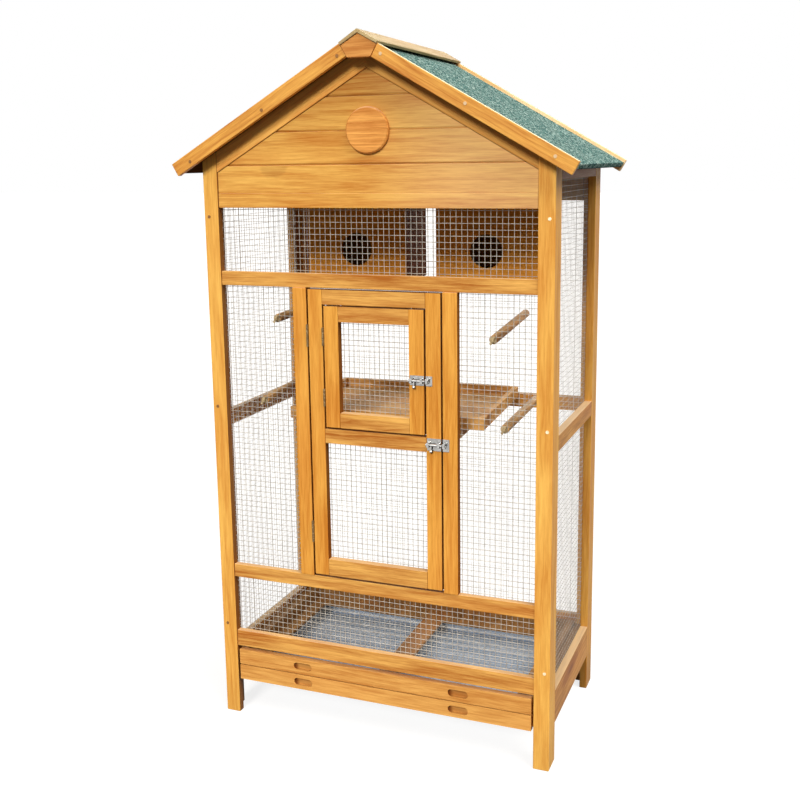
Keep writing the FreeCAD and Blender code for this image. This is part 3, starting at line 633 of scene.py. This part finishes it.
drawer_fir = fir("honey_fir_drawer_fronts", "crosswise", rgb(238, 182, 100), rgb(184, 116, 50),
                 board=DRAWER_JOINTS, stain_and_shade=recess_grain_and_shade, top_highlight=0.0)
brown_fir = fir("brown_fir", "front_to_back", rgb(170, 128, 80), rgb(110, 77, 44), top_highlight=0.0)
dress(drawer_fir, "upper_drawer_front", "lower_drawer_front")
dress(brown_fir, "upper_drawer_frame", "lower_drawer_frame", "drawer_runners")
dress(spangled_sheet(), "lower_drawer_tray")
ease(DRAWER_FRONT_EDGE, "upper_drawer_front", "lower_drawer_front", segments=3)
ease(DRAWER_EDGE, "upper_drawer_frame", "lower_drawer_frame", "drawer_runners")
wire_net("upper_drawer_grate", "upper_drawer", 0, -1, FINE_WIRE_R, rise=1)

# Nest boxes: two boxes of thin brown plywood, nailed together and screwed through the mesh to the rear
# gable's rail. Each has a round way in, and its sides that face right and its rear carry painted shade.
INSIDE_EDGE = 0.001
# Painted shade on the nest boxes' right sides and rear.
ply = fir("brown_plywood", "crosswise", rgb(240, 168, 72), rgb(188, 118, 40), knots=2.0,
          stain_and_shade=painted_reveal_shade, sheen=0.03, top_highlight=0.0)
dress(ply, "left_nest_box", "right_nest_box")
ease(INSIDE_EDGE, "left_nest_box", "right_nest_box")

# Platform: a shallow tray of reddish fir strips with a raised lip, nailed together. It lies slightly
# turned on two bearers that stand out from the back rail.
red_fir = fir("reddish_fir", "crosswise", rgb(242, 190, 116), rgb(160, 112, 60), sheen=0.03, top_highlight=0.1)
dress(red_fir, "platform_floor", "platform_lip")
ease(INSIDE_EDGE, "platform_floor", "platform_lip")

# Perches: four dowels with a trace of bark, each held at one end by a bolt through the front mesh. They
# were put in by hand, so each rises at its own angle.
stick = fir("perch_stick", "front_to_back", rgb(226, 176, 114), rgb(92, 58, 30), top_highlight=0.15)
dress(stick, "perches")
ease(INSIDE_EDGE, "perches")

# Floor: a plain white sheet that the cage stands on. It glows a little, so that the shadow on it stays
# faint, and it is no part of the cage.
FLOOR_HALF = 40.0
bm = bmesh.new()
bmesh.ops.create_grid(bm, x_segments=1, y_segments=1, size=FLOOR_HALF)
mesh = bpy.data.meshes.new("floor")
bm.to_mesh(mesh)
bm.free()
floor = bpy.data.objects.new("floor", mesh)
scene.collection.objects.link(floor)
material, shader, place = finish("white_floor", 0.9)
shader.inputs["Specular IOR Level"].default_value = 0.0
shader.inputs["Emission Strength"].default_value = 1.0


def looked_at(tree):
    """1 for what the camera, a mirror or clear glass looks at, 0 for light that falls on things."""
    rays = tree.nodes.new("ShaderNodeLightPath")
    kinds = ("Is Camera Ray", "Is Glossy Ray", "Is Transmission Ray")
    camera_ray, glossy_ray, clear_ray = (Link(tree, rays.outputs[kind]) for kind in kinds)
    return camera_ray.most(glossy_ray).most(clear_ray)


seen = looked_at(material.node_tree)
feed(shader, "Base Color", seen.mix((0.1, 0.1, 0.1, 1.0), (0.3, 0.3, 0.3, 1.0)))
feed(shader, "Emission Color", seen.mix((0.0, 0.0, 0.0, 1.0), (0.8, 0.8, 0.8, 1.0)))
mesh.materials.append(material)


# Light: a broad soft lamp in front, a wider warm one high on the right, a weak one behind, and a faint
# warm sky all round that looks white.
def lamp(name, energy, angle, colour, direction):
    """A sun lamp that shines in this direction and looks so many degrees wide."""
    data = bpy.data.lights.new(name, "SUN")
    data.energy = energy
    data.angle = math.radians(angle)
    data.color = colour
    made = bpy.data.objects.new(name, data)
    made.rotation_euler = Vector(direction).to_track_quat("-Z", "Y").to_euler()
    scene.collection.objects.link(made)


lamp("front_lamp", energy=2.8, angle=17, colour=(1.0, 0.97, 0.93), direction=(0.03, 0.87, -0.47))
lamp("right_lamp", energy=2.75, angle=40, colour=(1.0, 0.95, 0.88), direction=(-0.6, 0.25, -0.76))
lamp("rear_lamp", energy=1.0, angle=40, colour=(1.0, 0.96, 0.9), direction=(0.1, -0.96, -0.22))

SKY_LIGHT = 0.18
world = bpy.data.worlds.new("sky")
scene.world = world
world.use_nodes = True
sky = world.node_tree.nodes["Background"]
seen = looked_at(world.node_tree)
feed(sky, "Color", seen.mix((1.0, 0.9, 0.78, 1.0), (1.0, 1.0, 1.0, 1.0)))
feed(sky, "Strength", SKY_LIGHT + seen * (1.0 - SKY_LIGHT))

# Camera: about as high as the eaves, in front of the cage and to its right. It is turned to the cage and
# looks slightly down.
camera_data = bpy.data.cameras.new("camera")
camera_data.lens = 48.2
camera_data.sensor_width = 36.0
camera_data.shift_y = -0.05
camera = bpy.data.objects.new("camera", camera_data)
camera.location = (0.9012, -2.349, 1.3287)
camera.rotation_euler = [math.radians(angle) for angle in (79.464, 0.784, 21.344)]
scene.collection.objects.link(camera)
scene.camera = camera
scene.view_settings.view_transform = "Standard"
